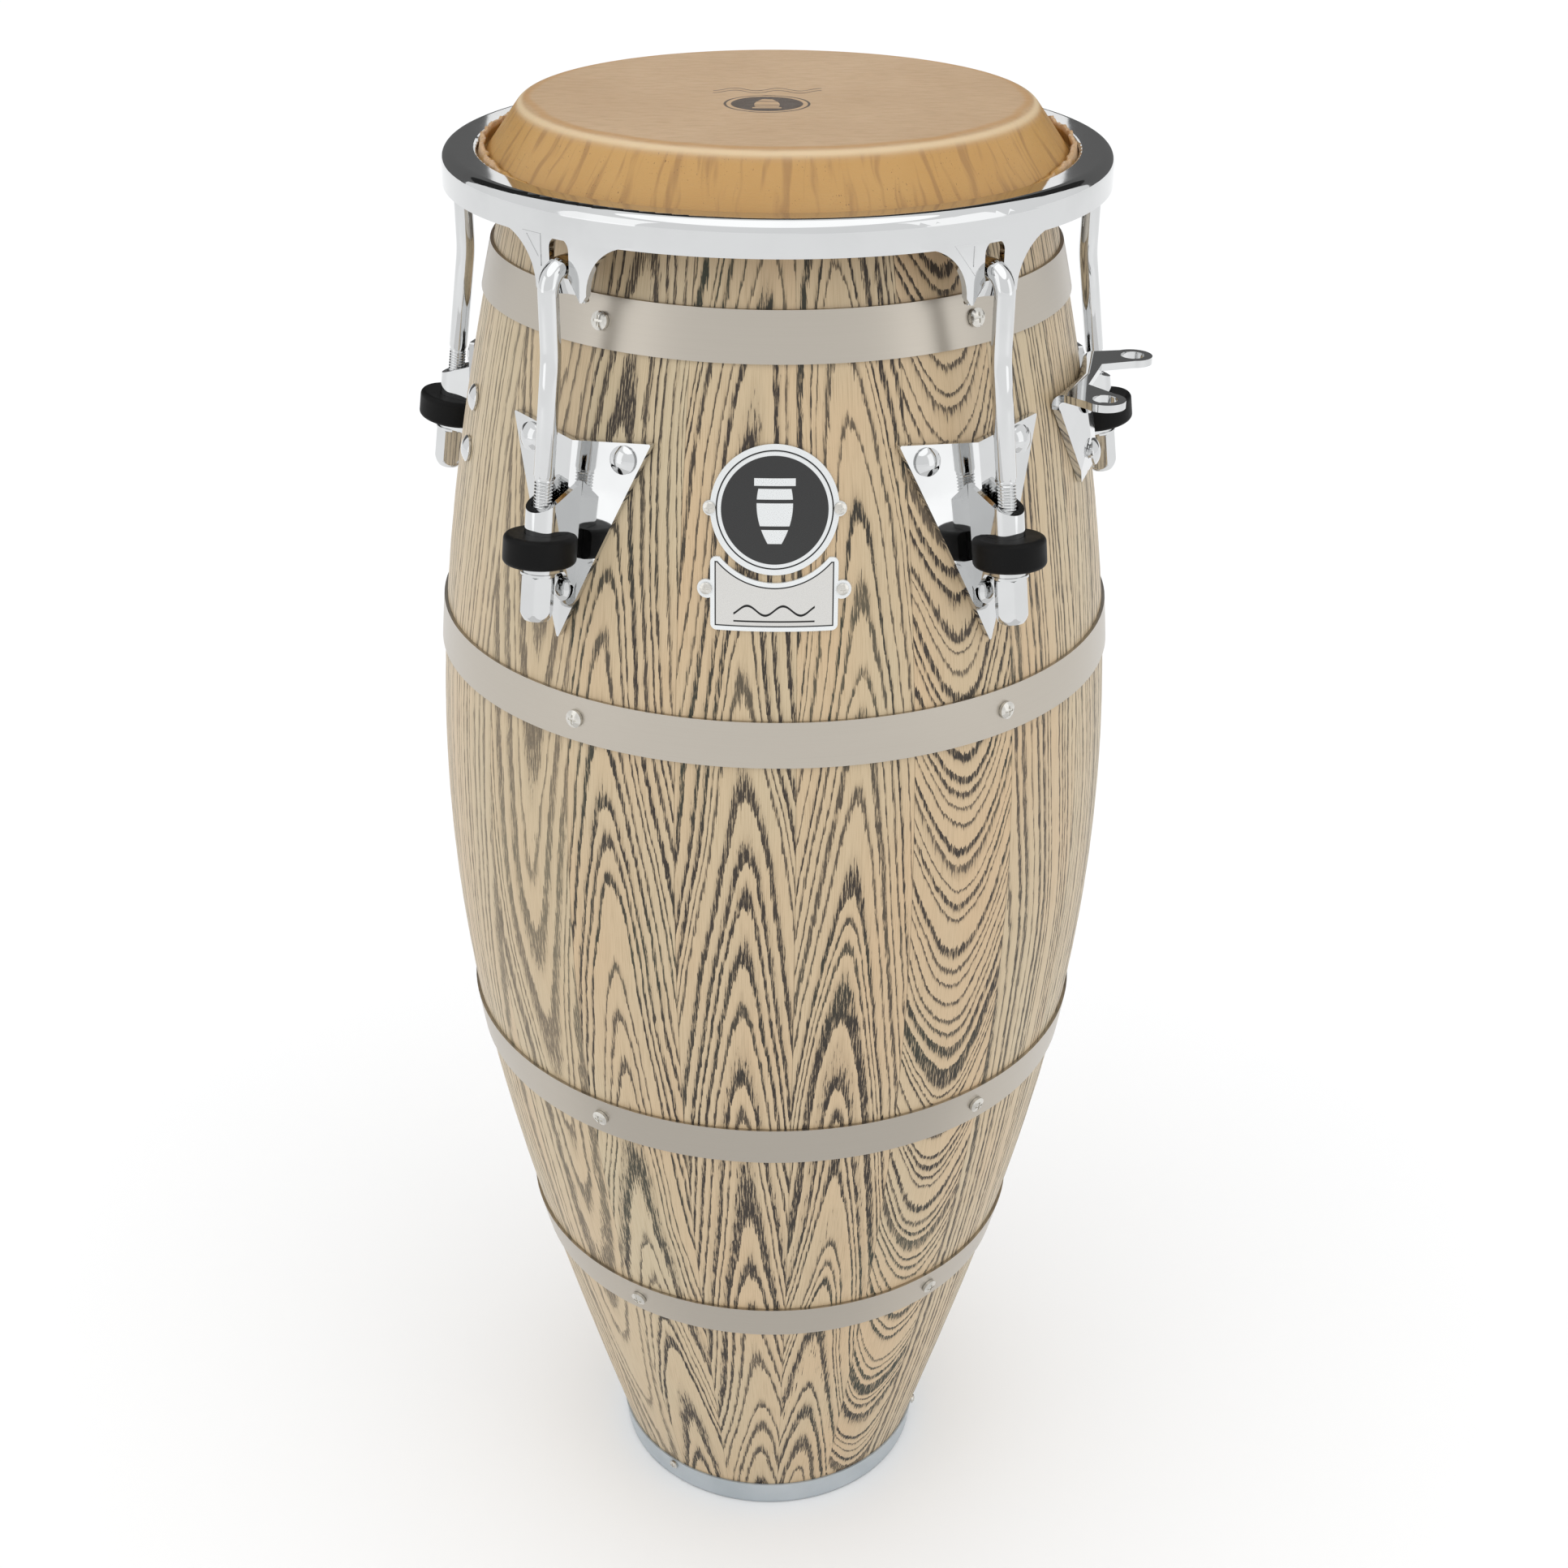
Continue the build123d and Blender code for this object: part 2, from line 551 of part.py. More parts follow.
def main():
    os.makedirs("parts", exist_ok=True)
    for i, stave in enumerate(staves(), 1):
        save(f"stave_{i:02d}", stave)
    for i, (top, low, _) in enumerate(BANDS, 1):
        save(f"band_{i}", band(top, low))
    screw = pan_screw(4.0, 2.6, 1.7, 9.6)
    save("band_screws", *[seat * Pos(0, 0, BAND + 0.12) * screw for seat in band_screw_seats()])
    save("foot_ring", foot_ring())
    small = pan_screw(2.6, 1.8, 1.4, 9.0)
    save("foot_ring_screws", *[seat * Pos(0, 0, 0.05) * small for seat in foot_screw_seats()])
    save("head_skin", head_skin())
    save("flesh_hoop", flesh_hoop())
    save("rim", rim())

    bracket, rubber, nut = lug_bracket(), shell_protector(), tuning_nut()
    washer, hook = nut_washer(), tuning_hook()
    for i, azimuth in enumerate(LUG_AZIMUTHS, 1):
        spun = Rot(0, 0, azimuth) * bracket
        for hole in lug_bracket_holes(azimuth):
            spun = spun - hole
        save(f"lug_bracket_{i}", spun)
        save(f"shell_protector_{i}", lug_plane(azimuth) * rubber)
        save(f"tuning_hook_{i}", Rot(0, 0, azimuth) * hook)
        save(f"tuning_nut_{i}", lug_plane(azimuth) * nut)
    save("nut_washers", *[lug_plane(azimuth) * washer for azimuth in LUG_AZIMUTHS])

    lug, stand, spare = bolt_seats()
    for name, seats in (("lug_bolts", lug), ("stand_bolts", stand), ("spare_bolts", spare)):
        save(name, *[seat * Pos(0, 0, rise) * carriage_bolt(rise + 19.5) for seat, rise in seats])
    seats = [seat for seat, _ in lug + stand + spare]
    save("bolt_washers", *[seat * inner_washer(11.7) for seat in seats])
    save("bolt_nuts", *[seat * inner_nut(11.7) for seat in seats])

    mount = Rot(0, 0, STAND_AZIMUTH) * stand_bracket()
    for seat, _ in stand:
        mount = mount - seat * Cylinder(BOLT + 0.2, 24)
    save("stand_bracket", mount)

    drills = [seat * Cylinder(1.4, 9) for seat in badge_screw_seats()]
    plates = {"badge_plate": badge_plate(), "name_plate": name_plate()}
    for name, plate in plates.items():
        for drill in drills:
            plate = plate - drill
        save(name, plate)
    save("badge_disc", badge_disc())
    tiny = pan_screw(2.5, 1.4, 1.1, 8.0)
    save("badge_screws", *[seat * Pos(0, 0, 0.15 + BADGE_SHEET) * tiny for seat in badge_screw_seats()])


main()
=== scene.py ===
from math import atan2, cos, pi, radians, sin, tan

import bpy
from mathutils import Matrix, Vector, noise


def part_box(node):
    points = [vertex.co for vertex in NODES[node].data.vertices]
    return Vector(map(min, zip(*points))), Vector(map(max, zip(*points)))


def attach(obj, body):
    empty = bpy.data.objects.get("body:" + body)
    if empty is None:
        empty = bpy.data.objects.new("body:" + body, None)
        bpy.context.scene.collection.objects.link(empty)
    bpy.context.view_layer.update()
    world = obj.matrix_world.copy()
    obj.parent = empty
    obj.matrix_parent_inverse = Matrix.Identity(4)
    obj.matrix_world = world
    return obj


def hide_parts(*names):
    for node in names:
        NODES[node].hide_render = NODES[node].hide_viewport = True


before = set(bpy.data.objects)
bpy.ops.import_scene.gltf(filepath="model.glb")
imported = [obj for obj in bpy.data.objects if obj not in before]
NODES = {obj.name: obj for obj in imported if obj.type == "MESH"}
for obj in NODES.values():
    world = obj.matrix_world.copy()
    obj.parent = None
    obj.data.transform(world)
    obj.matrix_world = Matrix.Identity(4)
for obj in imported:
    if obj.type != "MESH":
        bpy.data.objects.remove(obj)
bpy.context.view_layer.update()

# Conga drum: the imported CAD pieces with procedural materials, and finer meshes for the head skin and
# the threaded hooks. An azimuth is in degrees about +Z from the badge, which faces -Y, towards +X.
# Meshes, and the materials whose coordinates are scaled by IN_MM, are drawn in mm.

MM = 0.001
IN_MM = (1000, 1000, 1000)  # scales a material's coordinates from metres to mm
STAVES = 19
STAVE_STEP = 360 / STAVES
FIRST_SEAM = 3.6
LUG_AZIMUTHS = [180 + 72 * i for i in range(5)]
ROD_R, ROD_Z, ROD_LEAN = 167.0, 605.0, radians(8.5)  # each rod's axis where its strap holds it
THREAD_ABOVE, THREAD_BELOW = 27.9, 34.8  # how far a rod's thread reaches from there


# ---------------------------------------------------------------- node graphs
class Graph:
    """A material with short calls for the nodes that the finishes are made of."""

    def __init__(self, name, **constants):
        self.material = bpy.data.materials.new(name)
        self.material.use_nodes = True
        self.tree = self.material.node_tree
        self.tree.nodes.clear()
        self.out = self.tree.nodes.new("ShaderNodeOutputMaterial")
        self.shader = self.tree.nodes.new("ShaderNodeBsdfPrincipled")
        self.tree.links.new(self.shader.outputs[0], self.out.inputs["Surface"])
        for key, value in constants.items():
            self.shader.inputs[key.replace("_", " ")].default_value = value
        self.place = self.tree.nodes.new("ShaderNodeTexCoord").outputs["Object"]

    def put(self, socket, value):
        if isinstance(value, bpy.types.NodeSocket):
            self.tree.links.new(value, socket)
        else:
            socket.default_value = value

    def math(self, operation, a, b=0.0, c=0.0):
        node = self.tree.nodes.new("ShaderNodeMath")
        node.operation = operation
        for socket, value in zip(node.inputs, (a, b, c)):
            self.put(socket, value)
        return node.outputs[0]

    def turn(self, vector, degrees_z=0.0, move=(0, 0, 0), scale=(1, 1, 1)):
        node = self.tree.nodes.new("ShaderNodeMapping")
        self.put(node.inputs["Vector"], vector)
        node.inputs["Location"].default_value = move
        node.inputs["Rotation"].default_value = (0, 0, radians(degrees_z))
        node.inputs["Scale"].default_value = scale
        return node.outputs[0]

    def split(self, vector):
        node = self.tree.nodes.new("ShaderNodeSeparateXYZ")
        self.put(node.inputs[0], vector)
        return node.outputs

    def join(self, x, y, z):
        node = self.tree.nodes.new("ShaderNodeCombineXYZ")
        for socket, value in zip(node.inputs, (x, y, z)):
            self.put(socket, value)
        return node.outputs[0]

    def stretch(self, parts, factors):
        """A vector of three parts, each multiplied by its factor."""
        scaled = []
        for value, factor in zip(parts, factors):
            scaled.append(value if factor == 1.0 else self.math("MULTIPLY", value, factor))
        return self.join(*scaled)

    def noise(self, vector, scale=1.0, detail=2.0, roughness=0.5, distortion=0.0):
        node = self.tree.nodes.new("ShaderNodeTexNoise")
        self.put(node.inputs["Vector"], vector)
        node.inputs["Scale"].default_value = scale
        node.inputs["Detail"].default_value = detail
        node.inputs["Roughness"].default_value = roughness
        node.inputs["Distortion"].default_value = distortion
        return node.outputs["Fac"]

    def cells(self, vector, scale):
        node = self.tree.nodes.new("ShaderNodeTexVoronoi")
        self.put(node.inputs["Vector"], vector)
        node.inputs["Scale"].default_value = scale
        return node.outputs["Distance"]

    def step(self, value, low, high, to_low=0.0, to_high=1.0):
        node = self.tree.nodes.new("ShaderNodeMapRange")
        node.interpolation_type = "SMOOTHSTEP"
        self.put(node.inputs["Value"], value)
        self.put(node.inputs["From Min"], low)
        self.put(node.inputs["From Max"], high)
        node.inputs["To Min"].default_value = to_low
        node.inputs["To Max"].default_value = to_high
        return node.outputs[0]

    def span(self, value, low, high, to_low=0.0, to_high=1.0):
        node = self.tree.nodes.new("ShaderNodeMapRange")
        self.put(node.inputs["Value"], value)
        node.inputs["From Min"].default_value = low
        node.inputs["From Max"].default_value = high
        node.inputs["To Min"].default_value = to_low
        node.inputs["To Max"].default_value = to_high
        return node.outputs[0]

    def mix(self, factor, a, b):
        node = self.tree.nodes.new("ShaderNodeMix")
        node.data_type = "RGBA"
        self.put(node.inputs["Factor"], factor)
        for socket, value in ((node.inputs[6], a), (node.inputs[7], b)):
            self.put(socket, (*value, 1) if isinstance(value, tuple) else value)
        return node.outputs[2]

    def bump(self, height, distance, strength):
        node = self.tree.nodes.new("ShaderNodeBump")
        node.inputs["Strength"].default_value = strength
        node.inputs["Distance"].default_value = distance
        self.put(node.inputs["Height"], height)
        return node.outputs[0]

    def set(self, name, value):
        self.put(self.shader.inputs[name], value)


def srgb(*screen):
    """Linear colour of an 8-bit screen colour."""
    shares = [value / 255 for value in screen]
    return tuple(v / 12.92 if v <= 0.04045 else ((v + 0.055) / 1.055) ** 2.4 for v in shares)


def squared(g, value):
    return g.math("MULTIPLY", value, value)


def around(g):
    """Azimuth in radians, then distance from the axis and height in metres."""
    x, y, z = g.split(g.place)
    angle = g.math("ARCTAN2", x, g.math("MULTIPLY", y, -1.0))
    radius = g.math("SQRT", g.math("ADD", squared(g, x), squared(g, y)))
    return angle, radius, z


# ---------------------------------------------------------------- wood
# Each plank: how far its arches sit to one side (mm), how blunt they are (mm), how fast the face cuts
# down through the rings (negative turns the arches over), the ring width (mm), how far the rings wander
# (mm), its warmth and its darkness.
PLANKS = (
    (-2.0, 8.0, 0.105, 3.3, 2.0, 0.6, 1.0),
    (1.0, 25.0, -0.245, 2.5, 2.2, 0.7, 1.0),
    (-36.0, 22.0, 0.030, 3.4, 1.6, 0.5, 0.9),
    (36.0, 20.0, 0.020, 3.0, 1.6, 0.2, 0.7),
    (5.0, 12.0, 0.100, 3.6, 2.4, 0.3, 0.8),
    (-3.0, 26.0, -0.160, 2.9, 2.4, 0.6, 0.9),
    (38.0, 22.0, 0.024, 3.1, 1.8, 0.4, 0.8),
    (3.0, 9.0, 0.110, 3.7, 2.6, 0.5, 1.0),
    (-7.0, 18.0, -0.110, 3.2, 2.4, 0.8, 0.9),
    (0.0, 12.0, 0.130, 3.6, 2.8, 0.3, 1.0),
    (32.0, 18.0, 0.035, 3.2, 2.0, 0.6, 0.8),
    (-5.0, 10.0, 0.120, 3.3, 2.4, 0.4, 0.9),
    (4.0, 28.0, -0.180, 2.7, 2.2, 0.7, 1.0),
    (-38.0, 22.0, 0.022, 3.2, 1.8, 0.3, 0.7),
    (-30.0, 20.0, 0.030, 3.5, 1.8, 0.2, 0.6),
    (34.0, 20.0, 0.022, 3.4, 1.8, 0.25, 0.65),
    (4.0, 11.0, -0.085, 4.6, 2.6, 0.15, 0.7),
    (-4.0, 7.0, 0.105, 3.9, 3.4, 0.45, 1.0),
    (5.0, 7.0, 0.110, 3.9, 2.2, 0.6, 1.0),
)


def stave_material(index):
    """Open-pored ash, flat sawn: rings cut at a slant, with dark pores along the start of each."""
    side, blunt, fall, width, wander, warmth, darkness = PLANKS[index]
    azimuth = FIRST_SEAM + STAVE_STEP * (index + 0.5)
    g = Graph(f"ash_{index + 1:02d}", Coat_Weight=0.12, Coat_Roughness=0.35, IOR=1.45)
    local = g.turn(g.place, -azimuth, scale=IN_MM)
    t, depth_axis, z = g.split(local)
    radius = g.math("MULTIPLY", depth_axis, -1.0)
    seed = index * 37.0

    def streaks(across, up, move, detail, roughness=0.5):
        place = g.join(g.math("MULTIPLY_ADD", t, across, seed + move), move, g.math("MULTIPLY", z, up))
        return g.noise(place, 1.0, detail, roughness)

    # the rings wander slowly, waver a little, and their edges are broken up by the fibres
    slow = streaks(0.012, 0.0042, 0.0, 1.0)
    waver = streaks(0.05, 0.020, 5.0, 2.0)
    lean = g.noise(g.join(seed + 9.0, 4.0, g.math("MULTIPLY", z, 0.0045)), 1.0, 1.0)
    fibre = streaks(1.1, 0.060, 7.0, 3.0, 0.62)
    across = g.math("ADD", g.math("SUBTRACT", t, side), g.span(lean, 0.25, 0.75, -7.0, 7.0))
    ring = g.math("SQRT", g.math("MULTIPLY_ADD", across, across, blunt * blunt))
    ring = g.math("ADD", ring, g.math("MULTIPLY", z, fall))
    ring = g.math("ADD", ring, g.span(slow, 0.25, 0.75, -wander * 1.5, wander * 1.5))
    ring = g.math("ADD", ring, g.span(waver, 0.25, 0.75, -wander * 0.28, wander * 0.28))
    ring = g.math("DIVIDE", ring, width)
    # good and poor years draw the rings together or apart
    years = g.noise(g.join(g.math("MULTIPLY", ring, 0.43), seed, 6.0), 1.0, 1.0)
    ring = g.math("ADD", ring, g.span(years, 0.25, 0.75, -0.85, 0.85))
    ring = g.math("ADD", ring, g.span(fibre, 0.25, 0.75, -0.17, 0.17))
    part = g.math("FRACT", ring)
    which = g.noise(g.join(g.math("FLOOR", ring), seed, 1.5), 1.9, 0.0)
    # open pores crowd at the start of each ring and thin out across it
    rise = g.step(part, 0.0, 0.06)
    fade_from = g.span(which, 0.3, 0.7, 0.12, 0.30)
    fade = g.step(part, fade_from, g.span(which, 0.3, 0.7, 0.42, 0.86), 1.0, 0.0)
    crowd = g.math("MULTIPLY", rise, fade)
    pores = streaks(1.6, 0.11, 3.0, 3.0, 0.62)
    need = g.math("MULTIPLY_ADD", crowd, -0.37, 0.80)
    dark = g.step(pores, g.math("SUBTRACT", need, 0.05), g.math("ADD", need, 0.06))
    dark = g.math("MULTIPLY", dark, g.span(which, 0.25, 0.6, 0.72 * darkness, darkness))
    stain = g.math("MULTIPLY", crowd, 0.42 * darkness)
    blotch = g.noise(g.turn(local, 0, (seed, 0, 0), (0.02, 0.02, 0.007)), 1.0, 2.0)
    pale = g.mix(g.span(blotch, 0.3, 0.7, max(warmth - 0.4, 0.0), min(warmth + 0.4, 1.0)),
                 srgb(195, 179, 148), srgb(201, 174, 138))
    hair = streaks(3.0, 0.05, 11.0, 2.0, 0.6)
    pale = g.mix(g.step(hair, 0.45, 0.75, 0.0, 0.55), pale, srgb(158, 134, 100))
    shade = g.mix(stain, pale, srgb(120, 100, 72))
    green = g.noise(g.turn(local, 0, (0, seed, 0), (0.012, 0.012, 0.008)), 1.0, 1.0)
    ink = g.mix(g.step(green, 0.45, 0.7), srgb(46, 36, 27), srgb(46, 49, 34))
    colour = g.mix(dark, shade, ink)
    # hairline joint at the plank's edges
    half_width = g.math("MULTIPLY", radius, tan(radians(STAVE_STEP / 2)))
    edge = g.math("DIVIDE", g.math("ABSOLUTE", t), half_width)
    colour = g.mix(g.step(edge, 0.985, 0.999, 0.0, 0.45), colour, srgb(96, 78, 54))
    g.set("Base Color", colour)
    g.set("Roughness", g.span(dark, 0.0, 1.0, 0.42, 0.62))
    relief = g.math("MULTIPLY_ADD", dark, -1.0, g.math("MULTIPLY", hair, 0.12))
    g.set("Normal", g.bump(relief, 0.00012, 0.6))
    return g.material


# ---------------------------------------------------------------- metal, rubber and coatings
def chrome_material():
    """Bright plate with faint smears, over a sheet that isn't quite flat."""
    g = Graph("chrome_plate", Metallic=1.0)
    colour = (0.665, 0.67, 0.67)
    smear = g.noise(g.place, 35.0, 3.0, 0.55)
    fine = g.noise(g.place, 900.0, 2.0, 0.5)
    g.set("Base Color", g.mix(g.step(smear, 0.4, 0.75), colour, tuple(c * 0.95 for c in colour)))
    polish = g.math("ADD", smear, g.math("MULTIPLY", fine, 0.3))
    g.set("Roughness", g.span(polish, 0.4, 1.0, 0.03, 0.08))
    g.set("Normal", g.bump(g.noise(g.place, 60.0, 1.0), 0.00006, 0.35))
    return g.material


def band_material():
    """Rolled stainless strip in a smooth satin finish, brushed very finely round the drum."""
    g = Graph("band_steel", Metallic=1.0)
    angle, radius, z = around(g)
    brushed = g.noise(g.stretch((angle, radius, z), (2.0, 20.0, 3200.0)), 1.0, 3.0, 0.6)
    cloud = g.noise(g.place, 9.0, 2.0)
    lines = g.math("MULTIPLY", brushed, 0.35)
    g.set("Base Color", g.mix(lines, srgb(190, 183, 172), srgb(174, 166, 155)))
    g.set("Roughness", g.span(cloud, 0.3, 0.7, 0.30, 0.36))
    g.set("Normal", g.bump(brushed, 0.000005, 0.2))
    return g.material


def screw_material():
    """Bright steel with a fine grain."""
    g = Graph("screw_steel", Metallic=1.0)
    grain = g.noise(g.place, 700.0, 2.0)
    g.set("Base Color", g.mix(grain, srgb(222, 220, 214), srgb(196, 192, 184)))
    g.set("Roughness", g.span(grain, 0.3, 0.7, 0.12, 0.24))
    g.set("Normal", g.bump(grain, 0.00003, 0.3))
    return g.material


def zinc_material():
    """Zinc plate with a small spangle, for the hardware inside the drum."""
    g = Graph("zinc_plate", Metallic=1.0)
    spangle = g.cells(g.place, 420.0)
    g.set("Base Color", g.mix(spangle, srgb(188, 188, 182), srgb(160, 160, 156)))
    g.set("Roughness", g.span(spangle, 0.0, 1.0, 0.28, 0.42))
    return g.material


def foot_material():
    """Matt blue-grey coat with small scuffs and paler rubbed edges."""
    g = Graph("foot_coat", Metallic=0.2)
    angle, radius, z = around(g)
    cloud = g.noise(g.place, 28.0, 3.0)
    colour = g.mix(g.span(cloud, 0.3, 0.7), srgb(168, 176, 181), srgb(188, 194, 198))
    scuffs = g.noise(g.stretch((angle, radius, z), (14.0, 1.0, 900.0)), 1.0, 4.0, 0.7, 0.6)
    colour = g.mix(g.step(scuffs, 0.62, 0.72, 0.0, 0.45), colour, srgb(205, 208, 208))
    # darker over the bottom 2.5 mm where the ring meets the floor: painted shade
    colour = g.mix(g.step(z, 0.0025, 0.0, 0.0, 0.5), colour, srgb(120, 124, 126))
    g.set("Base Color", colour)
    g.set("Roughness", g.span(cloud, 0.3, 0.7, 0.42, 0.56))
    g.set("Normal", g.bump(g.noise(g.place, 1500.0, 2.0), 0.00003, 0.5))
    return g.material


def rubber_material():
    """Black rubber with a little dust in its grain."""
    g = Graph("rubber_black", Specular_IOR_Level=0.12)
    grain = g.noise(g.place, 1400.0, 3.0, 0.6)
    dust = g.noise(g.place, 70.0, 3.0, 0.6)
    g.set("Base Color", g.mix(g.step(dust, 0.5, 0.8, 0.0, 0.5), srgb(14, 14, 14), srgb(25, 24, 24)))
    g.set("Roughness", g.span(dust, 0.3, 0.7, 0.46, 0.58))
    g.set("Normal", g.bump(grain, 0.00008, 0.4))
    return g.material


# ---------------------------------------------------------------- printed marks
def inside(g, distance, blur):
    """1 where a signed distance in mm is below zero."""
    return g.step(distance, -blur, blur, 1.0, 0.0)


def disc_distance(g, x, z, radius):
    return g.math("SUBTRACT", g.math("SQRT", g.math("ADD", squared(g, x), squared(g, z))), radius)


def strip_distance(g, value, half_width):
    """Signed distance to a strip round zero."""
    return g.math("SUBTRACT", g.math("ABSOLUTE", value), half_width)


def plate_plane(g, centre_x, centre_z):
    """Coordinates in mm, then x and z from the centre of a plate on the drum's front."""
    mm = g.turn(g.place, 0, scale=IN_MM)
    x, _, z = g.split(mm)
    return mm, g.math("SUBTRACT", x, centre_x), g.math("SUBTRACT", z, centre_z)


def larger(g, *values):
    result = values[0]
    for value in values[1:]:
        result = g.math("MAXIMUM", result, value)
    return result


def drum_mark(g, x, z, size):
    """Plain outline of a bowed drum: a barrel, its head and two hoops, in a space of about +-1."""
    u = g.math("DIVIDE", x, size)
    v = g.math("DIVIDE", z, size)
    waist = g.math("MULTIPLY_ADD", squared(g, g.math("SUBTRACT", v, 0.15)), -0.30, 0.44)
    body = g.math("SUBTRACT", g.math("ABSOLUTE", u), waist)
    body = larger(g, body, g.math("SUBTRACT", v, 0.52), g.math("SUBTRACT", -0.80, v))
    for height in (0.22, -0.42):
        hoop = g.math("SUBTRACT", 0.045, g.math("ABSOLUTE", g.math("SUBTRACT", v, height)))
        body = g.math("MAXIMUM", body, hoop)
    head = larger(g, strip_distance(g, g.math("SUBTRACT", v, 0.68), 0.09), strip_distance(g, u, 0.50))
    return g.math("MULTIPLY", g.math("MINIMUM", body, head), size)


def skin_material():
    """Mottled rawhide: a pale flat top, an amber collar with soft stripes, and a raw edge."""
    g = Graph("drum_skin", Subsurface_Weight=0.08, Subsurface_Scale=0.003,
              Coat_Weight=0.05, Coat_Roughness=0.35)
    g.shader.inputs["Subsurface Radius"].default_value = (1.0, 0.5, 0.25)
    angle, radius, z = around(g)
    mm = g.turn(g.place, 0, scale=IN_MM)
    x, y, h = g.split(mm)
    cloud = g.noise(mm, 0.018, 4.0, 0.6)
    mottle = g.noise(g.stretch((x, y, h), (0.10, 0.30, 1.0)), 1.0, 5.0, 0.65)
    fibres = g.noise(g.stretch((x, y, h), (0.55, 2.4, 1.0)), 1.0, 3.0, 0.7, 0.4)
    top = g.mix(g.span(cloud, 0.3, 0.7), srgb(183, 151, 113), srgb(192, 161, 124))
    top = g.mix(g.step(mottle, 0.42, 0.72, 0.0, 0.45), top, srgb(168, 138, 103))
    top = g.mix(g.step(fibres, 0.60, 0.72, 0.0, 0.35), top, srgb(146, 114, 84))
    # the collar, where the wood's dark figure shows softly through the skin
    turn = g.math("MULTIPLY", angle, 180 / pi)
    warp = g.noise(g.stretch((turn, h, 5.0), (0.11, 0.03, 1.0)), 1.0, 2.0)
    along = g.math("ADD", g.math("MULTIPLY", turn, 0.34), g.math("MULTIPLY", warp, 2.0))
    stripes = g.noise(g.join(along, g.math("MULTIPLY", h, 0.02), 2.0), 1.0, 2.5, 0.65)
    amber = g.mix(g.span(cloud, 0.3, 0.7), srgb(182, 138, 74), srgb(190, 148, 86))
    amber = g.mix(g.step(stripes, 0.50, 0.64, 0.0, 0.6), amber, srgb(146, 106, 60))
    flecks = g.noise(g.stretch((turn, h, 1.0), (3.2, 0.9, 1.0)), 1.0, 2.0, 0.5, 0.3)
    where = g.noise(g.stretch((turn, h, 8.0), (0.16, 0.06, 1.0)), 1.0, 2.0)
    flecks = g.math("MULTIPLY", g.step(flecks, 0.66, 0.72), g.step(where, 0.42, 0.60))
    amber = g.mix(g.math("MULTIPLY", flecks, 0.75), amber, srgb(78, 48, 28))
    low = g.step(h, 761.4, 756.5)
    colour = g.mix(low, top, amber)
    # worn darker line where the head turns down over the bearing edge, and above it a pale line that is
    # a painted highlight along the rounded edge
    away = g.math("MULTIPLY", radius, 1000.0)
    sway = g.noise(g.stretch((turn, 0.0, 3.0), (0.05, 1.0, 1.0)), 1.0, 2.0)
    uneven = g.span(sway, 0.3, 0.7, -1.3, 1.3)
    line = g.math("ABSOLUTE", g.math("SUBTRACT", g.math("ADD", away, uneven), 109.2))
    colour = g.mix(g.step(line, 3.0, 0.4, 0.0, 0.55), colour, srgb(182, 136, 78))
    painted_highlight_gap = g.math("ABSOLUTE", g.math("SUBTRACT", away, 113.4))
    colour = g.mix(g.step(painted_highlight_gap, 2.2, 0.2, 0.0, 0.6), colour, srgb(226, 204, 166))
    # printed ring and disc with a plain drum outline, read from the player's side
    centre_x, centre_y = -4.6, -22.0
    disc_radius, ring_radius, line_half, mark_size = 15.6, 18.2, 0.55, 12.5
    mark_x = g.math("MULTIPLY", g.math("SUBTRACT", x, centre_x), -1.0)
    mark_z = g.math("MULTIPLY", g.math("SUBTRACT", y, centre_y), -1.0)
    disc = disc_distance(g, mark_x, mark_z, disc_radius)
    ring = strip_distance(g, disc_distance(g, mark_x, mark_z, ring_radius), line_half)
    figure = drum_mark(g, mark_x, mark_z, mark_size)
    printed = g.math("MINIMUM", g.math("MAXIMUM", disc, g.math("MULTIPLY", figure, -1.0)), ring)
    wave_half = 24.0
    wave_mid = g.math("MULTIPLY", g.math("SINE", g.math("MULTIPLY", mark_x, 0.33)), 3.0)
    for offset in (-27.0, -32.0):
        off_wave = g.math("SUBTRACT", g.math("SUBTRACT", mark_z, offset), wave_mid)
        wave = larger(g, strip_distance(g, off_wave, line_half), strip_distance(g, mark_x, wave_half))
        printed = g.math("MINIMUM", printed, wave)
    rubbed = g.noise(mm, 0.9, 3.0, 0.7)
    ink = g.math("MULTIPLY", inside(g, printed, 0.18), g.step(rubbed, 0.25, 0.42, 0.55, 0.92))
    ink = g.math("MULTIPLY", ink, g.step(h, 760.5, 761.5))
    colour = g.mix(ink, colour, srgb(52, 44, 40))
    # the raw edge, inside the rim
    leaning = g.math("ADD", away, g.math("MULTIPLY", g.math("SUBTRACT", h, 740.0), 0.72))
    raw = g.math("MULTIPLY", g.step(leaning, 131.3, 132.3), g.step(h, 734.0, 736.0))
    colour = g.mix(raw, colour, g.mix(g.noise(mm, 0.8, 3.0), srgb(222, 192, 152), srgb(170, 126, 84)))
    g.set("Base Color", colour)
    g.set("Roughness", g.math("MULTIPLY_ADD", low, -0.14, g.span(mottle, 0.3, 0.7, 0.46, 0.58)))
    relief = g.math("ADD", g.math("MULTIPLY", mottle, 0.6), g.math("MULTIPLY", fibres, 0.4))
    g.set("Normal", g.bump(relief, 0.0004, 0.35))
    return g.material


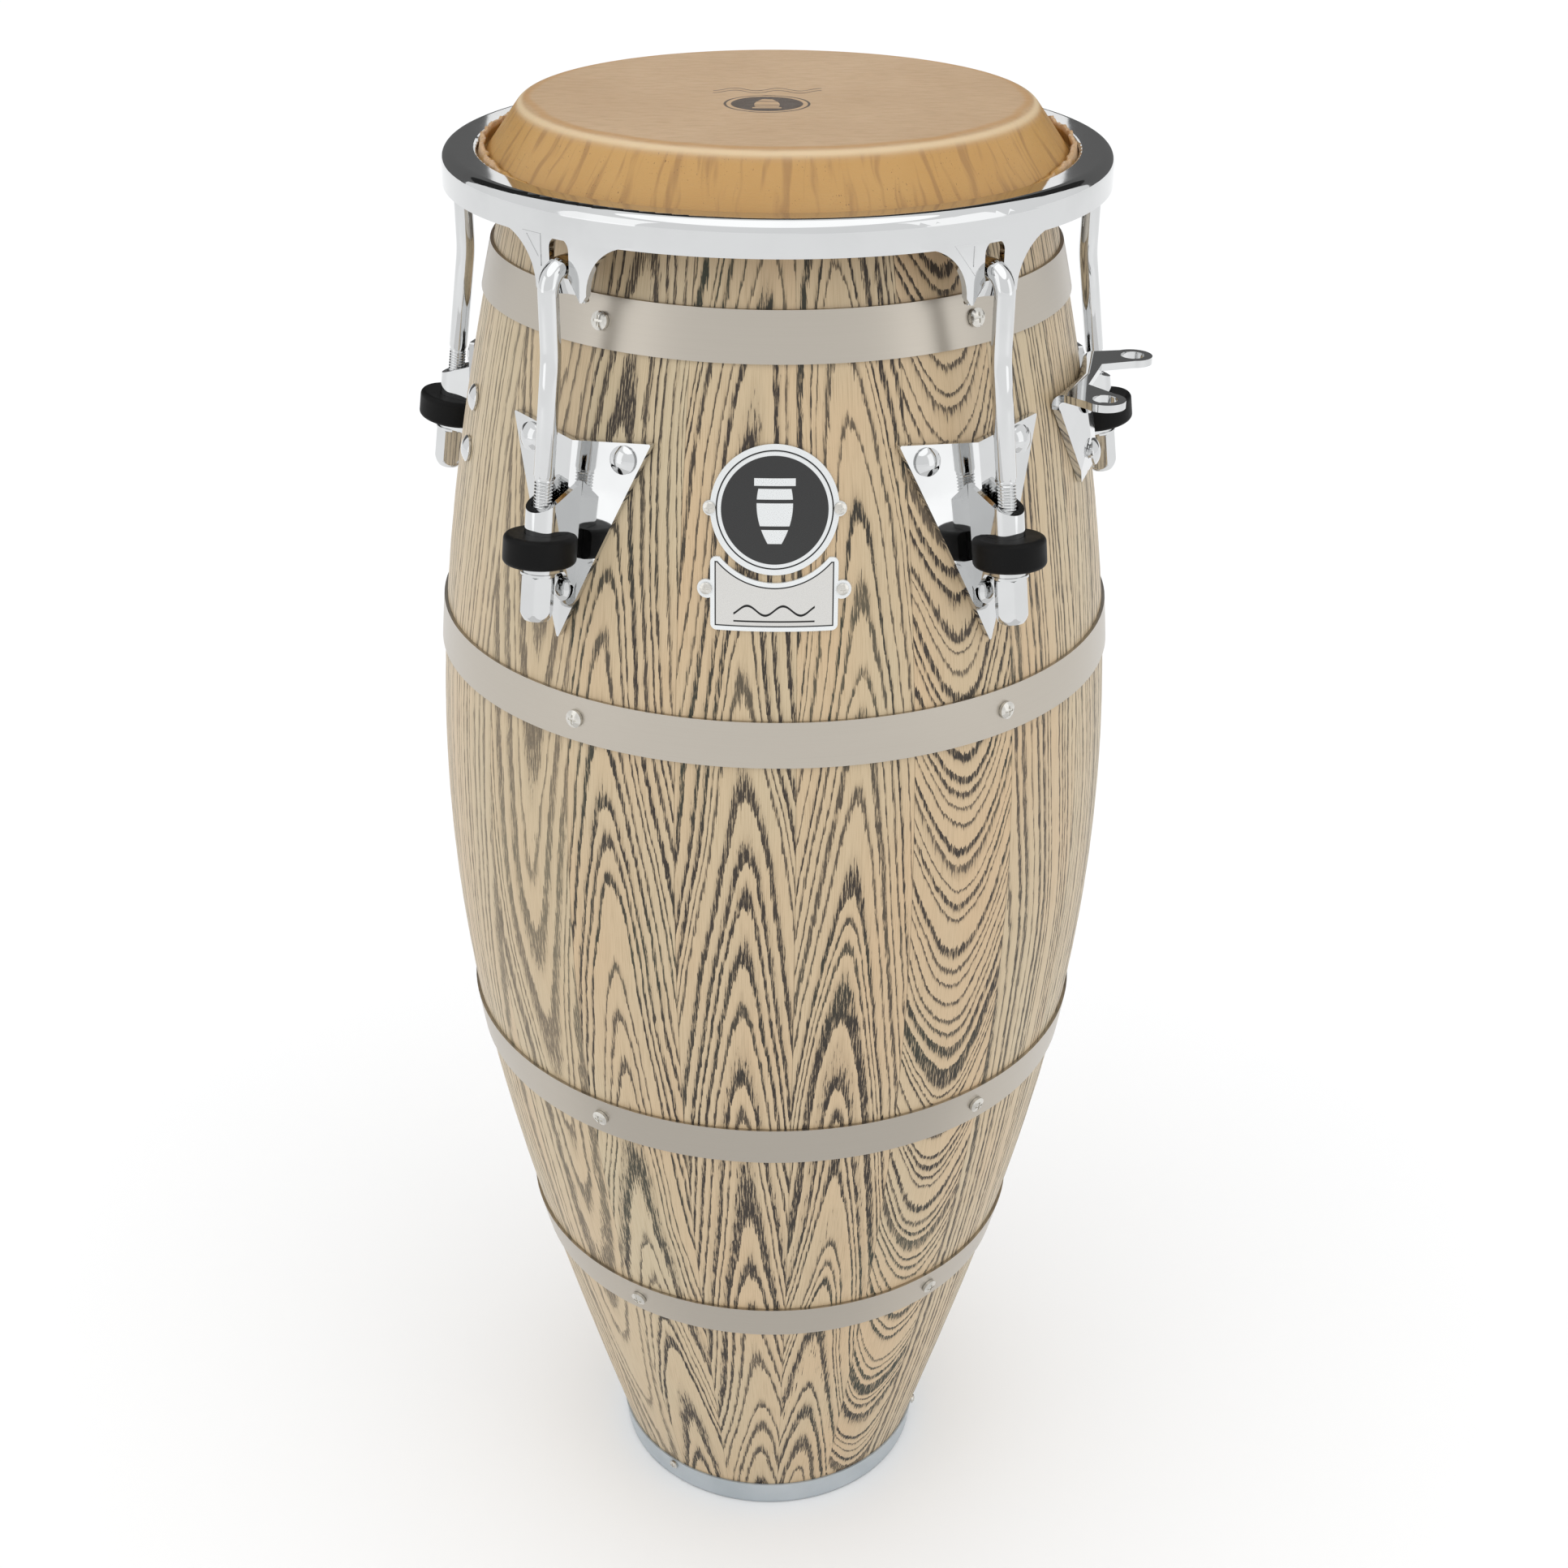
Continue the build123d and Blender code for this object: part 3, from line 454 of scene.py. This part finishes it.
def badge_material(centre_x, centre_z):
    """Satin silver with a thin black ring near its edge."""
    g = Graph("badge_silver", Metallic=0.5)
    mm, x, z = plate_plane(g, centre_x, centre_z)
    line = strip_distance(g, disc_distance(g, x, z, 24.1), 0.3)
    grain = g.noise(mm, 1.5, 3.0, 0.6)
    silver = g.mix(grain, srgb(232, 234, 234), srgb(222, 224, 224))
    g.set("Base Color", g.mix(inside(g, line, 0.1), silver, srgb(14, 14, 14)))
    g.set("Roughness", g.span(grain, 0.3, 0.7, 0.22, 0.32))
    return g.material


def disc_material(centre_x, centre_z):
    """Black field inside a silver ring, with a plain drum outline left in silver."""
    g = Graph("badge_black", Coat_Weight=0.3, Coat_Roughness=0.12)
    mm, x, z = plate_plane(g, centre_x, centre_z)
    figure = drum_mark(g, x, z, 17.0)
    black = g.math("MAXIMUM", disc_distance(g, x, z, 22.2), g.math("MULTIPLY", figure, -1.0))
    field = inside(g, black, 0.1)
    speck = g.noise(mm, 2.2, 3.0, 0.6)
    ink = g.mix(g.step(speck, 0.55, 0.8, 0.0, 0.4), srgb(24, 24, 24), srgb(42, 42, 42))
    g.set("Base Color", g.mix(field, srgb(226, 228, 228), ink))
    g.set("Metallic", g.span(field, 0.0, 1.0, 0.5, 0.0))
    g.set("Roughness", g.span(speck, 0.3, 0.7, 0.24, 0.34))
    g.set("Normal", g.bump(field, 0.00005, 0.5))
    return g.material


def name_material(centre_x, low, high):
    """Silver panel with a thin black inset line that follows its edge, and a plain wave."""
    g = Graph("name_silver", Metallic=0.45)
    scoop_z, scoop_radius = 623.0, 32.3
    wave_z, rule_z, wave_half = 581.2, 576.6, 17.0
    mm, x, up = plate_plane(g, centre_x, (low + high) / 2)
    z = g.split(mm)[2]
    frame_x = strip_distance(g, x, 24.6)
    frame_z = strip_distance(g, up, (high - low) / 2 - 2.1)
    scoop = g.math("MULTIPLY", disc_distance(g, x, g.math("SUBTRACT", z, scoop_z), scoop_radius), -1.0)
    panel = larger(g, frame_x, frame_z, scoop)
    line = strip_distance(g, panel, 0.28)
    ends = strip_distance(g, x, wave_half)
    height = g.math("MULTIPLY", g.math("SINE", g.math("MULTIPLY", x, 0.42)), 2.0)
    off_wave = g.math("SUBTRACT", g.math("SUBTRACT", z, wave_z), height)
    wave = larger(g, strip_distance(g, off_wave, 0.5), ends)
    under = larger(g, strip_distance(g, g.math("SUBTRACT", z, rule_z), 0.35), ends)
    marks = inside(g, g.math("MINIMUM", line, g.math("MINIMUM", wave, under)), 0.1)
    grain = g.noise(mm, 1.5, 3.0, 0.6)
    field = g.mix(inside(g, panel, 0.1), srgb(232, 234, 234), srgb(212, 210, 206))
    field = g.mix(g.span(grain, 0.3, 0.7, 0.0, 0.12), field, srgb(190, 192, 192))
    g.set("Base Color", g.mix(marks, field, srgb(16, 16, 16)))
    g.set("Roughness", g.span(grain, 0.3, 0.7, 0.24, 0.34))
    return g.material


# ---------------------------------------------------------------- meshes
def new_piece(name, vertices, faces, material, body, slot, *replaced):
    mesh = bpy.data.meshes.new(name)
    mesh.from_pydata([tuple(c * MM for c in v) for v in vertices], [], faces)
    mesh.validate()
    mesh.materials.append(material)
    for polygon in mesh.polygons:
        polygon.use_smooth = True
    piece = bpy.data.objects.new(name, mesh)
    bpy.context.scene.collection.objects.link(piece)
    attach(piece, body)
    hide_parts(*replaced)


def grid_faces(rows, columns):
    """Quads of a grid that closes round its columns, and a flat face at each end."""
    faces = []
    for i in range(rows - 1):
        here, above = i * columns, (i + 1) * columns
        for k in range(columns):
            m = (k + 1) % columns
            faces.append((here + k, here + m, above + m, above + k))
    last = (rows - 1) * columns
    faces.append([k for k in reversed(range(columns))])
    faces.append([last + k for k in range(columns)])
    return faces


def arc(centre, radius, start, end, steps):
    """Points of an arc, angles in degrees from the +r axis towards +z."""
    points = []
    for i in range(steps + 1):
        a = radians(start + (end - start) * i / steps)
        points.append((centre[0] + radius * cos(a), centre[1] + radius * sin(a)))
    return points


def between(start, end, shares):
    """Points at these shares of the way from start to end."""
    return [(start[0] + (end[0] - start[0]) * f, start[1] + (end[1] - start[1]) * f) for f in shares]


def head_skin(material):
    """Skin over the bearing edge, down the collar, round the flesh hoop and up to a torn raw edge."""
    turn, hoop = (108.68, 754.1), (138.2, 733.2)
    outer, inner, wire, wrap = 7.9, 6.1, 3.6, 5.4
    tilt = 36.2
    normal = (cos(radians(tilt)), sin(radians(tilt)))
    top = [(r, turn[1] + outer) for r in (2, 12, 25, 40, 55, 70, 82, 92, 100, 105)]
    crown = arc(turn, outer, 90, tilt, 10)
    collar_end = (hoop[0] - normal[0] * wire, hoop[1] - normal[1] * wire)
    collar = between(crown[-1], collar_end, (0.1, 0.2, 0.3, 0.4, 0.5, 0.6, 0.68, 0.75, 0.80))
    tail_in = [(130.7, 738.6), (130.4, 740.5), (130.2, 742.3)]
    tail_out = [(131.8, 742.3), (132.1, 740.6), (132.5, 739.0), (133.6, 737.6)]
    fold = arc(hoop, wrap, 135, -143, 22)
    under_end = (turn[0] + normal[0] * inner, turn[1] + normal[1] * inner)
    under = between(fold[-1], under_end, (0.25, 0.5, 0.75))
    lining = arc(turn, inner, tilt, 90, 6) + [(r, turn[1] + inner) for r in (100, 80, 50, 20, 2)]
    profile = top + crown + collar + tail_in + tail_out + fold + under + lining
    tail = range(len(top + crown + collar), len(top + crown + collar + tail_in + tail_out))
    columns = 720
    vertices = []
    for row, (r, z) in enumerate(profile):
        for k in range(columns):
            a = 2 * pi * k / columns
            spot = Vector((cos(a) * 9, sin(a) * 9, row * 0.11))
            dr = dz = 0.0
            if row in tail:
                height = max(0.0, min(1.0, (z - 737.6) / 4.7))
                crinkle = noise.noise(Vector((cos(a) * 16, sin(a) * 16, 1.0 + z * 0.12)))
                tear = noise.noise(Vector((cos(a) * 34, sin(a) * 34, 7.0)))
                ragged = 1.3 * noise.noise(Vector((cos(a) * 12, sin(a) * 12, 3.0))) + 0.9 * tear
                # it stands higher at the sides and the back than at the front
                stand = max(0.0, min(1.0, (0.62 - cos(a)) / 0.6))
                dr = height * (1.5 * crinkle - 0.9 + 0.3 * tear)
                dz = height * (ragged * (0.5 + 0.7 * stand) - 2.3 + 5.2 * stand)
            elif row < len(top):
                dz = 0.10 * noise.noise(spot * 0.5) - 0.12 * (1 - r / 105)
            elif row < len(top) + len(crown) + len(collar):
                dr = 0.22 * noise.noise(spot * 0.8) * min(1.0, (762 - z) / 10)
            vertices.append(((r + dr) * sin(a), -(r + dr) * cos(a), z + dz))
    faces = grid_faces(len(profile), columns)
    new_piece("skin_head", vertices, faces, material, "shell", "drum_skin", "head_skin")


def hook_line():
    """The hook's centre line in its own upright plane, as (radius, height) points, above its thread."""
    start = (ROD_R - THREAD_ABOVE * sin(ROD_LEAN), ROD_Z + THREAD_ABOVE * cos(ROD_LEAN))
    leg_r, bar_z, tip_r, tip_z = 155.7, 716.7, 134.5, 709.6
    knee_z = start[1] + (start[0] - leg_r) / tan(ROD_LEAN)
    corners = [start, (leg_r, knee_z), (leg_r, bar_z), (tip_r, bar_z), (tip_r, tip_z)]
    bends = [70.0, 8.7, 6.0]
    points = [corners[0]]
    for before, corner, after, bend in zip(corners, corners[1:], corners[2:], bends):
        back = Vector((before[0] - corner[0], before[1] - corner[1])).normalized()
        on = Vector((after[0] - corner[0], after[1] - corner[1])).normalized()
        turned = pi - back.angle(on)
        reach = bend * tan(turned / 2)
        middle = Vector(corner) + (back + on).normalized() * (bend / cos(turned / 2))
        first = Vector(corner) + back * reach
        sweep_from = atan2(first.y - middle.y, first.x - middle.x)
        last = Vector(corner) + on * reach
        sweep_to = atan2(last.y - middle.y, last.x - middle.x)
        swing = (sweep_to - sweep_from + pi) % (2 * pi) - pi
        steps = max(6, int(abs(swing) / 0.09))
        for i in range(steps + 1):
            a = sweep_from + swing * i / steps
            points.append((middle.x + bend * cos(a), middle.y + bend * sin(a)))
    points.append(corners[-1])
    return points


def tuning_hooks(material):
    """Polished rod with a rolled 5/16 in thread on its foot, a crook at its head and turned ends."""
    sides, rings_per_turn = 40, 10
    shank, crest, root, pitch = 4.4, 3.97, 3.32, 1.4111
    first_ring, last_gap = 5, 8  # rings of thread left plain at the foot and under the shank
    line = hook_line()
    along = Vector((sin(ROD_LEAN), -cos(ROD_LEAN)))
    foot = Vector((ROD_R, ROD_Z)) + along * THREAD_BELOW
    axis_start = Vector(line[0])
    length = (foot - axis_start).length
    vertices = []
    rows = 0

    def add_ring(centre, direction, radius_at):
        nonlocal rows
        across = Vector((-direction.y, direction.x))
        for k in range(sides):
            a = 2 * pi * k / sides
            radius = radius_at(a)
            r = centre.x + across.x * radius * cos(a)
            z = centre.y + across.y * radius * cos(a)
            vertices.append((radius * sin(a), -r, z))
        rows += 1

    up = -along
    steps = int(length / (pitch / rings_per_turn))
    for shrink, shift in ((0.55, 0.0), (0.80, 0.35)):
        add_ring(foot + up * shift, up, lambda a: crest * shrink)
    for i in range(first_ring, steps - last_gap):
        height = length * i / steps
        # the groove grows in over a few rings at each end
        fade = min(1.0, (steps - last_gap - i) / 14, (i - first_ring + 1) / 6)

        def thread(a, height=height, fade=fade):
            phase = (height / pitch - a / (2 * pi)) % 1.0
            ridge = min(1.0, max(0.0, 1.35 * (1 - abs(2 * phase - 1)) - 0.12))
            return crest - (crest - root) * (1 - ridge) * fade
        add_ring(foot + up * height, up, thread)
    add_ring(axis_start - up * 0.7, up, lambda a: crest)
    # the line stops one point short of its end, where the rounded tip takes over
    for i, point in enumerate(line[:-1]):
        before = Vector(line[max(i - 1, 0)])
        add_ring(Vector(point), (Vector(line[i + 1]) - before).normalized(), lambda a: shank)
    end = Vector(line[-1])
    down = Vector((0, -1))
    for back, radius in ((0.0, shank), (0.35, shank - 0.35), (0.5, shank - 0.9)):
        add_ring(end + down * (back - 0.5), down, lambda a, radius=radius: radius)
    faces = grid_faces(rows, sides)
    for i, azimuth in enumerate(LUG_AZIMUTHS, 1):
        spin = Matrix.Rotation(radians(azimuth), 3, "Z")
        turned = [tuple(spin @ Vector(v)) for v in vertices]
        new_piece(f"hook_rod_{i}", turned, faces, material, f"hook_{i}", "chrome", f"tuning_hook_{i}")


def dress(node, material):
    mesh = NODES[node].data
    mesh.materials.clear()
    mesh.materials.append(material)


# ---------------------------------------------------------------- dressing the CAD pieces
chrome = chrome_material()
steel = band_material()
screws = screw_material()
zinc = zinc_material()
rubber = rubber_material()

for index in range(STAVES):
    dress(f"stave_{index + 1:02d}", stave_material(index))
for index in range(1, 5):
    dress(f"band_{index}", steel)
for node in ("band_screws", "foot_ring_screws", "badge_screws"):
    dress(node, screws)
dress("foot_ring", foot_material())
for node in ("bolt_washers", "bolt_nuts", "flesh_hoop"):
    dress(node, zinc)
for index in range(1, 6):
    dress(f"lug_bracket_{index}", chrome)
    dress(f"tuning_nut_{index}", chrome)
    dress(f"shell_protector_{index}", rubber)
for node in ("rim", "nut_washers", "lug_bolts", "stand_bolts", "spare_bolts", "stand_bracket"):
    dress(node, chrome)

badge_low, badge_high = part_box("badge_disc")
badge_x = (badge_low.x + badge_high.x) / 2 / MM
badge_z = (badge_low.z + badge_high.z) / 2 / MM
dress("badge_plate", badge_material(badge_x, badge_z))
dress("badge_disc", disc_material(badge_x, badge_z))
name_low, name_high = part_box("name_plate")
name_x = (name_low.x + name_high.x) / 2 / MM
dress("name_plate", name_material(name_x, name_low.z / MM, name_high.z / MM))

head_skin(skin_material())
tuning_hooks(chrome)


# ---------------------------------------------------------------- floor, light and camera
def stage_plane(name, size, location, material, rotation=(0, 0, 0)):
    half = size / 2
    corners = [(-half, -half, 0), (half, -half, 0), (half, half, 0), (-half, half, 0)]
    mesh = bpy.data.meshes.new(name)
    mesh.from_pydata(corners, [], [(0, 1, 2, 3)])
    mesh.materials.append(material)
    plane = bpy.data.objects.new(name, mesh)
    plane.location = location
    plane.rotation_euler = rotation
    bpy.context.scene.collection.objects.link(plane)
    return plane


def floor_material():
    g = Graph("floor_white", Roughness=0.9, Specular_IOR_Level=0.1)
    g.set("Base Color", (0.93, 0.93, 0.93, 1))
    return g.material


def glow_material(name, strength):
    g = Graph(name, Emission_Strength=strength, Specular_IOR_Level=0.0)
    g.set("Base Color", (0, 0, 0, 1))
    g.set("Emission Color", (1, 1, 1, 1))
    return g.material


def area_light(name, location, target, size, power):
    light = bpy.data.lights.new(name, "AREA")
    light.shape = "RECTANGLE"
    light.size, light.size_y = size
    light.energy = power
    lamp = bpy.data.objects.new(name, light)
    lamp.location = location
    lamp.rotation_euler = (Vector(target) - Vector(location)).to_track_quat("-Z", "Y").to_euler()
    bpy.context.scene.collection.objects.link(lamp)


stage_plane("floor", 30.0, (0, 0, 0), floor_material())
world = bpy.data.worlds.new("studio")
bpy.context.scene.world = world
world.use_nodes = True
backdrop = world.node_tree.nodes["Background"]
backdrop.inputs["Color"].default_value = (0.985, 0.992, 1.0, 1)
backdrop.inputs["Strength"].default_value = 0.95
sun_data = bpy.data.lights.new("sky_soft", "SUN")
sun_data.energy = 0.55
sun_data.angle = radians(70)
sun = bpy.data.objects.new("sky_soft", sun_data)
sun.rotation_euler = (radians(14), 0, 0)
bpy.context.scene.collection.objects.link(sun)
area_light("left_soft", (-2.2, -1.3, 1.3), (0, 0, 0.4), (1.4, 2.2), 4)
area_light("right_soft", (2.2, -1.3, 1.3), (0, 0, 0.4), (1.4, 2.2), 4)

# cards that only reflections see: the dim studio behind the drum, a white sheet in it, and a dimmer
# stand-in for the floor close by, which is painted shade in the reflections; each has its width and
# height, its place, its brightness and its tilt in degrees
CARDS = (
    ("dark_low", (9.0, 2.2), (0, 3.2, 1.5), 0.13, 90),
    ("dark_high", (9.0, 2.4), (0, 3.2, 3.8), 0.025, 90),
    ("white_card", (0.96, 1.0), (0, 3.1, 1.3), 1.0, 90),
    ("painted_floor_shade", (1.8, 0.6), (0, -0.44, 0.004), 0.8, 0),
)
for name, size, location, shade, tilt in CARDS:
    card = stage_plane(name, 1.0, location, glow_material(name, shade), (radians(tilt), 0, 0))
    card.scale = (size[0], size[1], 1)
    card.visible_camera = card.visible_diffuse = card.visible_shadow = card.visible_transmission = False

CAMERA_DISTANCE, CAMERA_HEIGHT = 0.99987, 0.95046
CAMERA_TURN, CAMERA_DIP, CAMERA_ROLL = radians(0.5), radians(28.036), radians(0.179)
camera_data = bpy.data.cameras.new("camera")
camera_data.sensor_width = 36.0
camera_data.lens = 50.70
camera_data.shift_x = 0.018
camera = bpy.data.objects.new("camera", camera_data)
bpy.context.scene.collection.objects.link(camera)
camera.matrix_world = (
    Matrix.Translation((0, -CAMERA_DISTANCE, CAMERA_HEIGHT))
    @ Matrix.Rotation(CAMERA_TURN, 4, "Z")
    @ Matrix.Rotation(pi / 2 - CAMERA_DIP, 4, "X")
    @ Matrix.Rotation(CAMERA_ROLL, 4, "Z")
)
bpy.context.scene.camera = camera
bpy.context.scene.view_settings.view_transform = "Standard"
